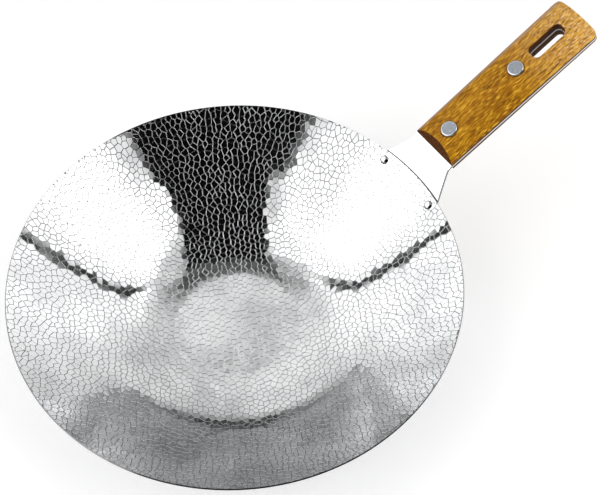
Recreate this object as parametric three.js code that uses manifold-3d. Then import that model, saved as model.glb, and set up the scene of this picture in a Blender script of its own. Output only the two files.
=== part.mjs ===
// Stainless steel wok: a pressed sheet bowl with a flat base, and one long handle.
// The handle is a stamped steel bracket, riveted to the outside of the bowl's wall, whose flat
// tang runs the whole length of the grip between two crowned wooden scales.
// Millimetres, +Z up. The origin is the centre of the base's underside and the handle points to +X.
import * as THREE from 'three';
import { mergeVertices } from 'three/addons/utils/BufferGeometryUtils.js';
import Module from 'manifold-3d';

const degrees = Math.PI / 180;

// Bowl: flat floor, a wide knuckle that turns it up, and a wall of one long arc to the cut rim
const MOUTH_RADIUS = 159.3;
const BOWL_DEPTH = 63.5;
const FLOOR_RADIUS = 40;
const KNUCKLE_RADIUS = 104;
const WALL_RADIUS = 520;
const BOWL_SHEET = 1;

// Bracket: a foot that lies on the wall, a neck that is bent up a little at the rim, and the tang
const BRACKET_SHEET = 2;
const FOOT_LENGTH = 17;
const FOOT_WIDTH = 70;
const FOOT_CORNER = 9;
const RIM_BEND_LENGTH = 4;
const NECK_LENGTH = 20.1;
const NECK_LIFT = 8.4 * degrees;
const NECK_RIM_WIDTH = 60;
const NECK_CONCAVITY = 1.25;
const BEND_INNER_RADIUS = 5;
const TANG_LEAD = 1.5;
const HANDLE_RISE = 25.3 * degrees;

// Grip: two wooden scales with an arched back, a bevelled front end and rounded far corners
const GRIP_LENGTH = 141.5;
const GRIP_FRONT_WIDTH = 40;
const GRIP_FLARE = 3;
const GRIP_END_WIDTH = GRIP_FRONT_WIDTH + GRIP_FLARE;
const GRIP_CORNER = 5;
const SCALE_CROWN = 8;
const SCALE_EDGE = 1.6;
const FRONT_SETBACK = 5.2;

// Hanging slot, through both scales and the tang
const SLOT_LENGTH = 30;
const SLOT_WIDTH = 11;
const SLOT_CORNER = 4;
const SLOT_TO_END = 14.5;

// Handle rivets, measured along the grip from its front end, the rear one by its distance to the slot
const FRONT_RIVET_AT = 16.8;
const REAR_RIVET_TO_SLOT = 15.2;
const REAR_RIVET_AT = GRIP_LENGTH - SLOT_TO_END - SLOT_LENGTH - REAR_RIVET_TO_SLOT;
const HANDLE_RIVET_HEAD = 12.2;
const HANDLE_RIVET_SHANK = 6;
const HANDLE_HEAD_THICKNESS = 1.6;
const HANDLE_HEAD_BEVEL = 0.9;
const HANDLE_HEAD_SINK = 0.9;

// Bowl rivets, measured down the wall from the rim and sideways from the handle's plane
const BOWL_RIVET_BELOW_RIM = 6.7;
const BOWL_RIVET_OFFSET = 26.1;
const BOWL_RIVET_HEAD = 6.8;
const BOWL_RIVET_SHANK = 4;
const BOWL_RIVET_DOME = 2;
const BOWL_RIVET_TAIL = 1.4;

// Fits
const SEAT_GAP = 0.3;
const HOLE_CLEARANCE = 0.3;

// Fineness of the round stretches
const BOWL_SEGMENTS = 96;
const RIVET_SEGMENTS = 24;
const HOLE_SEGMENTS = 24;
const KNUCKLE_STEPS = 10;
const WALL_STEPS = 4;
const CORNER_STEPS = 6;
const FOOT_STEPS = 4;
const RIM_BEND_STEPS = 3;
const NECK_STEPS = 7;
const BEND_STEPS = 5;
const ACROSS_STEPS = 12;
const CROWN_STEPS = 14;
const DOME_STEPS = 6;
const CUT_OVERRUN = 5;
const MERGE_DISTANCE = 1e-4;

const wasm = await Module();
wasm.setup();

const steel = () => new THREE.MeshStandardMaterial({ color: 0xd3d6d8, roughness: 0.16, metalness: 1 });
const satinSteel = () => new THREE.MeshStandardMaterial({ color: 0xc9ccce, roughness: 0.28, metalness: 1 });
const wood = () => new THREE.MeshStandardMaterial({ color: 0xb67a2c, roughness: 0.42, metalness: 0 });
const aluminium = () => new THREE.MeshStandardMaterial({ color: 0xa7b0ba, roughness: 0.38, metalness: 1 });

// A closed geometry as a solid that can be cut: shared corners merged, collapsed triangles dropped
function solidOf(geometry, matrix) {
  const bare = geometry.clone();
  bare.deleteAttribute('normal');
  bare.deleteAttribute('uv');
  if (matrix) bare.applyMatrix4(matrix);
  const merged = mergeVertices(bare, MERGE_DISTANCE);
  const corners = merged.index.array;
  const kept = [];
  for (let i = 0; i < corners.length; i += 3) {
    const [a, b, c] = [corners[i], corners[i + 1], corners[i + 2]];
    if (a !== b && b !== c && c !== a) kept.push(a, b, c);
  }
  const vertProperties = Float32Array.from(merged.attributes.position.array);
  const triVerts = Uint32Array.from(kept);
  return new wasm.Manifold(new wasm.Mesh({ numProp: 3, vertProperties, triVerts }));
}

function geometryOf(solid) {
  const { vertProperties, triVerts } = solid.getMesh();
  const geometry = new THREE.BufferGeometry();
  geometry.setAttribute('position', new THREE.BufferAttribute(Float32Array.from(vertProperties), 3));
  geometry.setIndex(new THREE.BufferAttribute(Uint32Array.from(triVerts), 1));
  geometry.computeVertexNormals();
  return geometry;
}

function named(name, geometry, material) {
  const mesh = new THREE.Mesh(geometry, material);
  mesh.name = name;
  return mesh;
}

const steps = (from, to, count) =>
  Array.from({ length: count + 1 }, (_, i) => from + ((to - from) * i) / count);

// A profile of radius and height, revolved round the Z axis
function revolved(profile, segments) {
  return new THREE.LatheGeometry(profile, segments).rotateX(Math.PI / 2);
}

// A round cutter along Z, between two heights
function roundCutter(diameter, bottom, top) {
  const cutter = new THREE.CylinderGeometry(diameter / 2, diameter / 2, top - bottom, HOLE_SEGMENTS);
  return cutter.rotateX(Math.PI / 2).translate(0, 0, (top + bottom) / 2);
}

// Bowl section. The wall's arc touches the knuckle's arc from outside and ends at the rim, so its
// centre lies one wall radius from the rim and the difference of the radii from the knuckle's centre.
const knuckleCentre = new THREE.Vector2(FLOOR_RADIUS, BOWL_SHEET + KNUCKLE_RADIUS);
const innerRim = new THREE.Vector2(MOUTH_RADIUS, BOWL_SHEET + BOWL_DEPTH);
const toRim = innerRim.clone().sub(knuckleCentre);
const centreSpan = WALL_RADIUS - KNUCKLE_RADIUS;
const turnToCentre = Math.acos(
  (toRim.lengthSq() + centreSpan ** 2 - WALL_RADIUS ** 2) / (2 * toRim.length() * centreSpan));
const centreAngle = toRim.angle() + turnToCentre;
const wallCentre = new THREE.Vector2(Math.cos(centreAngle), Math.sin(centreAngle))
  .multiplyScalar(centreSpan)
  .add(knuckleCentre);
const slopeAt = (point) => Math.atan2(point.x - wallCentre.x, wallCentre.y - point.y);
const knuckleSlope = slopeAt(knuckleCentre);
const rimSlope = slopeAt(innerRim);

// A point on an arc, by the slope of the sheet there
const onArc = (centre, radius, slope) =>
  new THREE.Vector2(centre.x + radius * Math.sin(slope), centre.y - radius * Math.cos(slope));

function bowlFace(outside) {
  const knuckle = steps(0, knuckleSlope, KNUCKLE_STEPS)
    .map((slope) => onArc(knuckleCentre, KNUCKLE_RADIUS + outside, slope));
  const wall = steps(knuckleSlope, rimSlope, WALL_STEPS)
    .slice(1)
    .map((slope) => onArc(wallCentre, WALL_RADIUS + outside, slope));
  return [new THREE.Vector2(0, BOWL_SHEET - outside), ...knuckle, ...wall];
}

// Where a bowl rivet crosses the wall: its local frame has Z along the wall's normal, into the bowl,
// and its origin on the inner face of the wall
const rivetSlope = rimSlope - BOWL_RIVET_BELOW_RIM / WALL_RADIUS;
const rivetPoint = onArc(wallCentre, WALL_RADIUS, rivetSlope);
const rivetTurn = Math.asin(BOWL_RIVET_OFFSET / rivetPoint.x);

function bowlRivetPlace(side) {
  const turned = new THREE.Group();
  turned.rotation.z = side * rivetTurn;
  const seat = new THREE.Group();
  seat.position.set(rivetPoint.x, 0, rivetPoint.y);
  seat.rotation.y = -rivetSlope;
  turned.add(seat);
  turned.updateMatrixWorld(true);
  return { turned, seat, matrix: seat.matrixWorld };
}
const LEFT = 1;
const RIGHT = -1;
const rivetStack = BOWL_SHEET + SEAT_GAP + BRACKET_SHEET;

function bowlRivetHole(side) {
  const hole = roundCutter(
    BOWL_RIVET_SHANK + 2 * HOLE_CLEARANCE, -rivetStack - CUT_OVERRUN, CUT_OVERRUN);
  return solidOf(hole, bowlRivetPlace(side).matrix);
}

function makeBowl() {
  const profile = [...bowlFace(BOWL_SHEET), ...bowlFace(0).reverse()];
  const shell = solidOf(revolved(profile, BOWL_SEGMENTS));
  const drilled = shell.subtract(bowlRivetHole(LEFT)).subtract(bowlRivetHole(RIGHT));
  return named('bowl', geometryOf(drilled), steel());
}

// Side view of the bracket's upper face, by the length along it: zero at the rim, negative down the
// wall. It follows the wall, lifts a little at the rim, runs straight on, bends down to the handle's
// rise and then stays straight to the end of the tang.
const seatRadius = WALL_RADIUS + BOWL_SHEET + SEAT_GAP;
const bendRadius = BEND_INNER_RADIUS + BRACKET_SHEET;
const neckSlope = rimSlope + NECK_LIFT;
const rimBendRadius = RIM_BEND_LENGTH / NECK_LIFT;
const bendTurn = neckSlope - HANDLE_RISE;
const bendStart = NECK_LENGTH;
const bendEnd = bendStart + bendRadius * bendTurn;
const gripStart = bendEnd + TANG_LEAD;
const gripEnd = gripStart + GRIP_LENGTH;
const rimSeat = onArc(wallCentre, seatRadius, rimSlope);
const along = (slope) => new THREE.Vector2(Math.cos(slope), Math.sin(slope));
const rimBendCentre = onArc(rimSeat, -rimBendRadius, rimSlope);
const rimBendTo = onArc(rimBendCentre, rimBendRadius, neckSlope);
const bendFrom = rimBendTo.clone().addScaledVector(along(neckSlope), NECK_LENGTH - RIM_BEND_LENGTH);
const bendCentre = onArc(bendFrom, bendRadius, neckSlope);
const bendTo = onArc(bendCentre, -bendRadius, HANDLE_RISE);

function bracketSide(length) {
  if (length <= 0) {
    const slope = rimSlope + length / seatRadius;
    return { point: onArc(wallCentre, seatRadius, slope), slope };
  }
  if (length <= RIM_BEND_LENGTH) {
    const slope = rimSlope + length / rimBendRadius;
    return { point: onArc(rimBendCentre, rimBendRadius, slope), slope };
  }
  if (length <= bendStart) {
    const point = rimBendTo.clone().addScaledVector(along(neckSlope), length - RIM_BEND_LENGTH);
    return { point, slope: neckSlope };
  }
  if (length <= bendEnd) {
    const slope = neckSlope - (length - bendStart) / bendRadius;
    return { point: onArc(bendCentre, -bendRadius, slope), slope };
  }
  return { point: bendTo.clone().addScaledVector(along(HANDLE_RISE), length - bendEnd), slope: HANDLE_RISE };
}

// How far a corner of the given radius draws an edge in, at a distance from the end
function cornerDraw(radius, fromEnd) {
  const inside = Math.max(radius - fromEnd, 0);
  return radius - Math.sqrt(Math.max(radius ** 2 - inside ** 2, 0));
}

const gripHalfWidth = (fromFront) =>
  (GRIP_FRONT_WIDTH + ((GRIP_END_WIDTH - GRIP_FRONT_WIDTH) * fromFront) / GRIP_LENGTH) / 2;

// Half of the bracket's width: the foot, the flare of the neck and the tang, flush with the grip
function bracketHalfWidth(length) {
  const front = GRIP_FRONT_WIDTH / 2;
  if (length >= gripStart) {
    return gripHalfWidth(length - gripStart) - cornerDraw(GRIP_CORNER, gripEnd - length);
  }
  if (length >= bendStart) return front;
  const flare = (NECK_RIM_WIDTH / 2 - front) * (1 - length / NECK_LENGTH) ** NECK_CONCAVITY;
  const foot = Math.min(front + flare, FOOT_WIDTH / 2);
  return foot - cornerDraw(FOOT_CORNER, length + FOOT_LENGTH);
}

// The foot is bent round the bowl; past the rim that curve fades out until the tang is flat
function bracketPoint(length, acrossShare, depth) {
  const { point, slope } = bracketSide(length);
  const radius = point.x + depth * Math.sin(slope);
  const height = point.y - depth * Math.cos(slope);
  const y = acrossShare * bracketHalfWidth(length);
  const round = 1 - THREE.MathUtils.smoothstep(length, 0, NECK_LENGTH);
  const x = radius - round * (radius - Math.sqrt(radius ** 2 - y ** 2));
  return [x, y, height];
}

// A sheet between two faces that are both sampled on the same grid of lengths and shares of the width
function loftedSheet(lengths, shares, thickness) {
  const row = shares.length;
  const face = lengths.length * row;
  const points = [0, thickness].flatMap((depth) =>
    lengths.flatMap((length) => shares.map((share) => bracketPoint(length, share, depth))));
  const index = [];
  const quad = (a, b, c, d) => index.push(a, b, c, a, c, d);
  for (let i = 0; i + 1 < lengths.length; i += 1) {
    for (let j = 0; j + 1 < row; j += 1) {
      const a = i * row + j;
      quad(a, a + row, a + row + 1, a + 1);
      quad(face + a, face + a + 1, face + a + row + 1, face + a + row);
    }
    const first = i * row;
    const last = first + row - 1;
    quad(first, face + first, face + first + row, first + row);
    quad(last, last + row, face + last + row, face + last);
  }
  const tip = face - row;
  for (let j = 0; j + 1 < row; j += 1) {
    quad(j, j + 1, face + j + 1, face + j);
    quad(tip + j, face + tip + j, face + tip + j + 1, tip + j + 1);
  }
  const geometry = new THREE.BufferGeometry();
  geometry.setAttribute('position', new THREE.BufferAttribute(Float32Array.from(points.flat()), 3));
  geometry.setIndex(index);
  return geometry;
}

// Lengths that close in on a rounded corner, from the end of the sheet inwards
const cornerLengths = (radius) =>
  steps(0, Math.PI / 2, CORNER_STEPS).map((turn) => radius * (1 - Math.cos(turn)));

// Handle frame: origin on the tang's upper face at the grip's front end, X along the grip, Z out
// of the upper face
function handleGroup() {
  const front = bracketSide(gripStart).point;
  const group = new THREE.Group();
  group.position.set(front.x, 0, front.y);
  group.rotation.y = -HANDLE_RISE;
  group.updateMatrixWorld(true);
  return group;
}
const handle = handleGroup();
const gripReach = BRACKET_SHEET + SEAT_GAP + SCALE_CROWN + CUT_OVERRUN;

// Cutter for the hanging slot, in the handle frame
function slotCutter() {
  const end = GRIP_LENGTH - SLOT_TO_END;
  const start = end - SLOT_LENGTH;
  const half = SLOT_WIDTH / 2;
  const corner = Math.min(SLOT_CORNER, half);
  const outline = new THREE.Shape();
  outline.absarc(start + corner, -half + corner, corner, Math.PI, 1.5 * Math.PI, false);
  outline.absarc(end - corner, -half + corner, corner, 1.5 * Math.PI, 2 * Math.PI, false);
  outline.absarc(end - corner, half - corner, corner, 0, 0.5 * Math.PI, false);
  outline.absarc(start + corner, half - corner, corner, 0.5 * Math.PI, Math.PI, false);
  const options = { depth: 2 * gripReach, bevelEnabled: false, curveSegments: CORNER_STEPS };
  return new THREE.ExtrudeGeometry(outline, options).translate(0, 0, -gripReach);
}

const handleRivetHole = (at) =>
  roundCutter(HANDLE_RIVET_SHANK + 2 * HOLE_CLEARANCE, -gripReach, gripReach).translate(at, 0, 0);

function makeBracket() {
  const footCorner = cornerLengths(FOOT_CORNER).map((length) => length - FOOT_LENGTH);
  const tangCorner = cornerLengths(GRIP_CORNER).map((length) => gripEnd - length).reverse();
  const lengths = [
    ...footCorner,
    ...steps(FOOT_CORNER - FOOT_LENGTH, 0, FOOT_STEPS).slice(1),
    ...steps(0, RIM_BEND_LENGTH, RIM_BEND_STEPS).slice(1),
    ...steps(RIM_BEND_LENGTH, bendStart, NECK_STEPS).slice(1),
    ...steps(bendStart, bendEnd, BEND_STEPS).slice(1),
    gripStart,
    ...tangCorner,
  ];
  let sheet = solidOf(loftedSheet(lengths, steps(-1, 1, ACROSS_STEPS), BRACKET_SHEET));
  for (const side of [LEFT, RIGHT]) sheet = sheet.subtract(bowlRivetHole(side));
  const cutters = [slotCutter(), handleRivetHole(FRONT_RIVET_AT), handleRivetHole(REAR_RIVET_AT)];
  for (const cutter of cutters) sheet = sheet.subtract(solidOf(cutter, handle.matrixWorld));
  return named('handle_bracket', geometryOf(sheet), satinSteel());
}

// Grip outline seen from above, from the front end to the rounded far corners
function gripOutline() {
  const shape = new THREE.Shape();
  const corner = GRIP_CORNER;
  const far = gripHalfWidth(GRIP_LENGTH);
  shape.moveTo(0, -GRIP_FRONT_WIDTH / 2);
  shape.lineTo(GRIP_LENGTH - corner, -gripHalfWidth(GRIP_LENGTH - corner));
  shape.absarc(GRIP_LENGTH - corner, -far + corner, corner, 1.5 * Math.PI, 2 * Math.PI, false);
  shape.absarc(GRIP_LENGTH - corner, far - corner, corner, 0, 0.5 * Math.PI, false);
  shape.lineTo(0, GRIP_FRONT_WIDTH / 2);
  return shape;
}

// Section of a scale across the grip: flat underneath, thin at the edges, arched to the crown
function scaleSection() {
  const half = Math.max(GRIP_FRONT_WIDTH, GRIP_END_WIDTH) / 2;
  const rise = SCALE_CROWN - SCALE_EDGE;
  const archRadius = (half ** 2 + rise ** 2) / (2 * rise);
  const archHalf = Math.asin(half / archRadius);
  const shape = new THREE.Shape();
  shape.moveTo(-half, 0);
  shape.lineTo(half, 0);
  shape.absarc(
    0, SCALE_CROWN - archRadius, archRadius, Math.PI / 2 - archHalf, Math.PI / 2 + archHalf, false);
  return shape;
}

// What the bevel takes off the front end: everything ahead of a plane from the edge to the crown
function frontBevel() {
  const width = Math.max(GRIP_FRONT_WIDTH, GRIP_END_WIDTH) + 2 * CUT_OVERRUN;
  const lean = FRONT_SETBACK / (SCALE_CROWN - SCALE_EDGE);
  const shape = new THREE.Shape();
  shape.moveTo(-CUT_OVERRUN, SCALE_EDGE);
  shape.lineTo(0, SCALE_EDGE);
  shape.lineTo(FRONT_SETBACK + lean * CUT_OVERRUN, SCALE_CROWN + CUT_OVERRUN);
  shape.lineTo(-CUT_OVERRUN, SCALE_CROWN + CUT_OVERRUN);
  const prism = new THREE.ExtrudeGeometry(shape, { depth: width, bevelEnabled: false });
  return prism.rotateX(Math.PI / 2).translate(0, width / 2, 0);
}

function scaleGeometry() {
  const section = { depth: GRIP_LENGTH, bevelEnabled: false, curveSegments: CROWN_STEPS };
  const turn = new THREE.Matrix4().makeBasis(
    new THREE.Vector3(0, 1, 0), new THREE.Vector3(0, 0, 1), new THREE.Vector3(1, 0, 0));
  const arched = solidOf(new THREE.ExtrudeGeometry(scaleSection(), section), turn);
  const plan = { depth: SCALE_CROWN + CUT_OVERRUN, bevelEnabled: false, curveSegments: CORNER_STEPS };
  let scale = arched.intersect(solidOf(new THREE.ExtrudeGeometry(gripOutline(), plan)));
  const seatDiameter = HANDLE_RIVET_HEAD + 2 * HOLE_CLEARANCE;
  const seatBottom = SCALE_CROWN - HANDLE_HEAD_SINK;
  const cutters = [frontBevel(), slotCutter()];
  for (const at of [FRONT_RIVET_AT, REAR_RIVET_AT]) {
    cutters.push(handleRivetHole(at));
    cutters.push(roundCutter(seatDiameter, seatBottom, gripReach).translate(at, 0, 0));
  }
  for (const cutter of cutters) scale = scale.subtract(solidOf(cutter));
  return geometryOf(scale);
}

function addScales() {
  const upper = named('upper_scale', scaleGeometry(), wood());
  upper.position.z = SEAT_GAP;
  const lower = named('lower_scale', scaleGeometry(), wood());
  lower.rotation.x = Math.PI;
  lower.position.z = -BRACKET_SHEET - SEAT_GAP;
  handle.add(upper, lower);
}

// Handle rivet: a shank through scales and tang, with a flat bevelled head sunk into each scale
function addHandleRivets() {
  const headUnder = SEAT_GAP + SCALE_CROWN - HANDLE_HEAD_SINK + SEAT_GAP;
  const headTop = headUnder + HANDLE_HEAD_THICKNESS;
  const head = HANDLE_RIVET_HEAD / 2;
  const shank = HANDLE_RIVET_SHANK / 2;
  const upperHalf = [
    [shank, headUnder],
    [head, headUnder],
    [head, headTop - HANDLE_HEAD_BEVEL],
    [head - HANDLE_HEAD_BEVEL, headTop],
    [0, headTop],
  ];
  const lowerHalf = upperHalf.map(([radius, height]) => [radius, -BRACKET_SHEET - height]).reverse();
  const profile = [...lowerHalf, ...upperHalf].map((point) => new THREE.Vector2(...point));
  const places = { front_handle_rivet: FRONT_RIVET_AT, rear_handle_rivet: REAR_RIVET_AT };
  for (const [name, at] of Object.entries(places)) {
    const rivet = named(name, revolved(profile, RIVET_SEGMENTS), aluminium());
    rivet.position.x = at;
    handle.add(rivet);
  }
}

// Bowl rivet: a domed head inside the bowl, and a low set head under the foot of the bracket
function makeBowlRivet(name, side) {
  const head = BOWL_RIVET_HEAD / 2;
  const shank = BOWL_RIVET_SHANK / 2;
  const tail = -rivetStack - SEAT_GAP;
  const dome = steps(0, Math.PI / 2, DOME_STEPS)
    .map((turn) => [head * Math.cos(turn), SEAT_GAP + BOWL_RIVET_DOME * Math.sin(turn)]);
  dome[DOME_STEPS][0] = 0;
  const points = [
    [0, tail - BOWL_RIVET_TAIL],
    [shank, tail - BOWL_RIVET_TAIL],
    [head, tail],
    [shank, tail],
    [shank, SEAT_GAP],
    ...dome,
  ];
  const profile = points.map((point) => new THREE.Vector2(...point));
  const { turned, seat } = bowlRivetPlace(side);
  seat.add(named(name, revolved(profile, RIVET_SEGMENTS), satinSteel()));
  return turned;
}

addScales();
addHandleRivets();

const wok = new THREE.Group();
wok.add(
  makeBowl(),
  makeBracket(),
  handle,
  makeBowlRivet('left_bowl_rivet', LEFT),
  makeBowlRivet('right_bowl_rivet', RIGHT),
);

export default wok;
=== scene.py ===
# Stainless steel wok: a mirror bowl embossed with small cells, a riveted steel bracket and a wooden grip.
# Metres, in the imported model's frame: +Z up, the handle along +X, the origin under the middle of the base.
import math

import bmesh
import bpy
import numpy as np
from mathutils import Matrix, Vector, geometry


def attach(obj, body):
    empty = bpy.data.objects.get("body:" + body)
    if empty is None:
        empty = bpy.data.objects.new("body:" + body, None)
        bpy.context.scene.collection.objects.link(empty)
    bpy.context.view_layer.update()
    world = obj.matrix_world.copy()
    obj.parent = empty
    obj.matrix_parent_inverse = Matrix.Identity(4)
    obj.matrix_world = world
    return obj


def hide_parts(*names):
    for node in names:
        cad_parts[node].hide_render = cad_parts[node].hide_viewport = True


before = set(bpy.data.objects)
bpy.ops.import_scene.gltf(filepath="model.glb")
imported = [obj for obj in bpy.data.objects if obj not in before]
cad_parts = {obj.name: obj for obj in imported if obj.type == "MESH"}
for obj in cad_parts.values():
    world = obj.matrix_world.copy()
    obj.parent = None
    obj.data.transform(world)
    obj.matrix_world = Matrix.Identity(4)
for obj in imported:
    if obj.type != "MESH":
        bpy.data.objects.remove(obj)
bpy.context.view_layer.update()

# Bowl: flat floor, a wide knuckle, and a wall of one long arc up to the cut rim
MOUTH_RADIUS = 0.1593
BOWL_DEPTH = 0.0635
FLOOR_RADIUS = 0.040
KNUCKLE_RADIUS = 0.104
WALL_RADIUS = 0.520
BOWL_SHEET = 0.001
RIM_ROUND = 0.00012
PLAIN_RIM = 0.0009
RIM_STEPS = 4
OUTER_WALL_STEPS = 5
OUTER_KNUCKLE_STEPS = 11
BASE_RINGS = (0.5, 0.04)  # shares of the floor's radius
SECTION_SAMPLES = 4000

# Embossed cells: a net of narrow grooves between polished pads
CELL_PITCH = 0.0044
CELL_JITTER = 0.42
CELL_LEAN = 0.000010
NET_MARGIN = 4 * CELL_PITCH
NET_TOLERANCE = 1e-6  # in pitches
GROOVE_HALF_WIDTH = 0.00027
GROOVE_DEPTH = 0.00020
CORNER_LIMIT = 0.3  # keeps sharp corners from being drawn in too far
DRAW_LIMIT = 0.45  # the largest share of its way to the cell's middle that a corner moves
PAD_FLATNESS = 0.75
GROOVE_LAYER = "groove_depth"

# The bowl's finishes, in the order of its materials
POLISHED, SPUN, GROOVE, CUT_EDGE = range(4)

# Bracket: a foot on the wall, a neck that is bent up a little at the rim, and the tang
BRACKET_SHEET = 0.002
FOOT_LENGTH = 0.017
FOOT_WIDTH = 0.070
FOOT_CORNER = 0.009
RIM_BEND_LENGTH = 0.004
NECK_LENGTH = 0.0201
NECK_LIFT = math.radians(8.4)
NECK_RIM_WIDTH = 0.060
NECK_CONCAVITY = 1.25
BEND_INNER_RADIUS = 0.005
TANG_LEAD = 0.0015
HANDLE_RISE = math.radians(25.3)
SEAT_GAP = 0.0003
BRACKET_EDGE_ROUND = 0.0003
BRACKET_STEPS_ACROSS = 32
FOOT_CORNER_STEPS = 8

# Grip: two crowned scales with a bevelled front end, rounded far corners and a hanging slot
GRIP_LENGTH = 0.1415
GRIP_FRONT_WIDTH = 0.040
GRIP_FLARE = 0.003
GRIP_CORNER = 0.005
GRIP_CORNER_STEPS = 10
SCALE_CROWN = 0.008
SCALE_EDGE = 0.0016
FRONT_SETBACK = 0.0052
SCALE_SEAT = 0.00005
EDGE_ROUND = 0.0009
EDGE_STEPS = 6
BACK_STEPS = 48
SLOT_LENGTH = 0.030
SLOT_WIDTH = 0.011
SLOT_CORNER = 0.004
SLOT_TO_END = 0.0145
SLOT_ROUND = 0.0011
SAWN_AND_SHADED_SLOT_ROWS = 3  # the slot's wall and the lowest part of its rounded rim

# Rivets
FRONT_RIVET_AT = 0.0168
REAR_RIVET_TO_SLOT = 0.0152
HANDLE_RIVET_HEAD = 0.0122
HANDLE_HEAD_THICKNESS = 0.0016
HANDLE_HEAD_BEVEL = 0.0009
HANDLE_HEAD_SINK = 0.0009
HEAD_BEVEL_STEPS = 6
HEAD_FLAT_STEPS = 12
HANDLE_RIVET_SEGMENTS = 64
PEEN_DEPTH = 0.00012
PEEN_COUNT = 26
PEEN_SIZES = (0.0005, 0.0012)
PEEN_BLOWS = (0.3, 1)
PEENED_SHARE = 0.7  # dents fade out from here to the edge of the flat
BOWL_RIVET_BELOW_RIM = 0.0067
BOWL_RIVET_OFFSET = 0.0261
BOWL_RIVET_HEAD = 0.0068
BOWL_RIVET_SHANK = 0.004
BOWL_RIVET_DOME = 0.002
BOWL_RIVET_TAIL = 0.0014
BOWL_RIVET_SEGMENTS = 48
RIVET_DOME_STEPS = 12

# Finishes: where noise mostly lies, and from where to where painted shade darkens a groove, the floor's
# unshaded grooves end, painted shade in the crevice ends past the rim and below the bracket's seat, and
# the darkening at the edges of the rivets' domes sets in
NOISE_RANGE = (0.3, 0.7)
NOISE_CORE = (0.35, 0.65)
GROOVE_SHADE_DEPTHS = (0.47, 0.63)
UNSHADED_GROOVE_FLOOR = (0.030, 0.075)
CREVICE_SHADE_PAST_RIM = (0.0007, 0.0011)
CREVICE_SHADE_BELOW_SEAT = (0.0014, 0.0008)
DOME_DARKENING = (0.80, 0.95)
RIVET_RING_WIDTH = 0.0012

# Camera, fitted to the photograph's rim and handle
IMAGE_WIDTH = 600
FOCAL_PIXELS = 1264
SENSOR_WIDTH = 36.0
CAMERA_TARGET = Vector((0.0520, -0.0050, 0.06384))
CAMERA_DISTANCE = 0.9
CAMERA_ELEVATION = math.radians(55.10)
CAMERA_AZIMUTH = math.radians(-35.62)
CAMERA_ROLL = math.radians(0.23)

# Studio: soft lights, by distances to the camera's right, towards the camera and up. A side panel has a foot
# and a head, sideways and up, and its own near end. The rear panel is a corner and two sides.
PANEL_FOOT = (1.2, 0.14)
PANEL_HEAD = (0.62, 1.55)
PANEL_FAR_END = -0.12
PANELS = (("left panel", -1, 1.25), ("right panel", 1, 0.78))
PANEL_RADIANCE = 1.5
REAR_PANEL = ((-1.3, -1.35, 1.15), (2.6, 0, 0), (0, 0.65, 0.75))
REAR_PANEL_RADIANCE = 0.75
WORLD_FILL = 0.5
GROUND_REACH = 6.0
GROUND_DROP = 0.0002
GROUND_GREY = (0.80, 0.80, 0.80, 1)
GROUND_LIFT = 0.32
DOME_RADIUS = 8.0
DOME_RINGS = 17
DOME_SEGMENTS = 64

# What the polished steel mirrors. A patch is a list of edges: a coordinate, and where along it the patch
# starts and is full. left, right and up are degrees of turn from the camera's side and of height. x and y
# are sideways and nearward distances at unit height, in which a straight edge overhead is a straight line.
# Gains, hazes and horizon are a strength and a patch each. A lane's edge is a lean, a start and where it is
# full. A seam is a side, its turn at a height, and its lean.
LANE_EDGES = ((0.13, -0.208, -0.192), (-0.445, 0.328, 0.312))
SLOT_END = (("y", -0.62, -0.20),)
RIGHT_GAP = (("y", 0.42, 0.45), ("right", 55, 53), ("x", 0.0, 0.03))
LEFT_GAP = (("y", 0.55, 0.59), ("left", 39, 37.5))
LEFT_GAP_EDGE = (("left", 33.5, 35),)
LEFT_GAP_EDGE_SHARE = 0.93
DARK_LEVEL = 0.004
PANEL_LIGHT = 1.35
PANEL_GAINS = ((0.65, (("right", 48, 90),)), (0.65, (("left", 38, 52),)))
HOT_CORES = ((-87, 41), (88, 45))
HOT_EDGE = (19, 3)
HOT_GAIN = 2.6
BACKDROP_LIGHT = 1.09
BACKDROP_GAINS = (
    (0.24, (("x", 0.02, -0.02), ("left", 180, 166))),
    (0.56, (("x", 0.02, -0.02), ("left", 150, 124))),
    (0.80, (("x", -0.02, 0.02), ("right", 158, 124))),
)
BACKDROP_EDGE = (-1, 1)
OVERHEAD_GAINS = (
    (0.9, (("x", 0.455, 0.495), ("up", 48, 56))),
    (0.9, (("x", -0.34, -0.46), ("y", -0.38, -0.28), ("up", 48, 56))),
)
SEAMS = (("left", 109, 24, 0.33), ("right", 111.8, 28, 0.45))
SEAM_HEIGHTS = (26, 54)
SEAM_HALF_WIDTHS = (1.7, 3.6)
SEAM_EDGE = (1.1, 0.95)
SEAM_LOWER_PART = (("up", 60, 52),)
SEAM_SHADES = (0.4, 0.97)
VEIL = (("up", 59, 65), ("y", -0.28, -0.40))
VEIL_SHADES = (0.60, 0.78)
HAZES = (
    (0.42, (("x", 0.50, 0.38), ("x", 0.0, 0.1), ("y", 0.24, 0.0), ("y", -0.38, -0.22))),
    (0.52, (("x", -0.50, -0.24), ("x", 0.1, 0.0), ("y", -0.14, -0.23), ("y", -0.42, -0.30))),
)
HORIZON = (
    (0.62, (("up", 22, 12), ("left", 140, 160))),
    (0.62, (("up", 22, 12), ("right", 156, 176))),
)
LOWEST_RISE = 0.02

WELD = 1e-7
TINY = 1e-9
QUARTER = math.pi / 2

random = np.random.default_rng(11)


# Meshes

def stacked(*values):
    """Arrays side by side in a new last direction."""
    return np.stack(np.broadcast_arrays(*values), axis=-1)


def after(start, end, steps):
    """Even steps from a start to an end, without the start."""
    return np.linspace(start, end, steps + 1)[1:]


def polar(points):
    """Distance from the Z axis, and turn round it."""
    return np.hypot(points[..., 0], points[..., 1]), np.arctan2(points[..., 1], points[..., 0])


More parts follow.
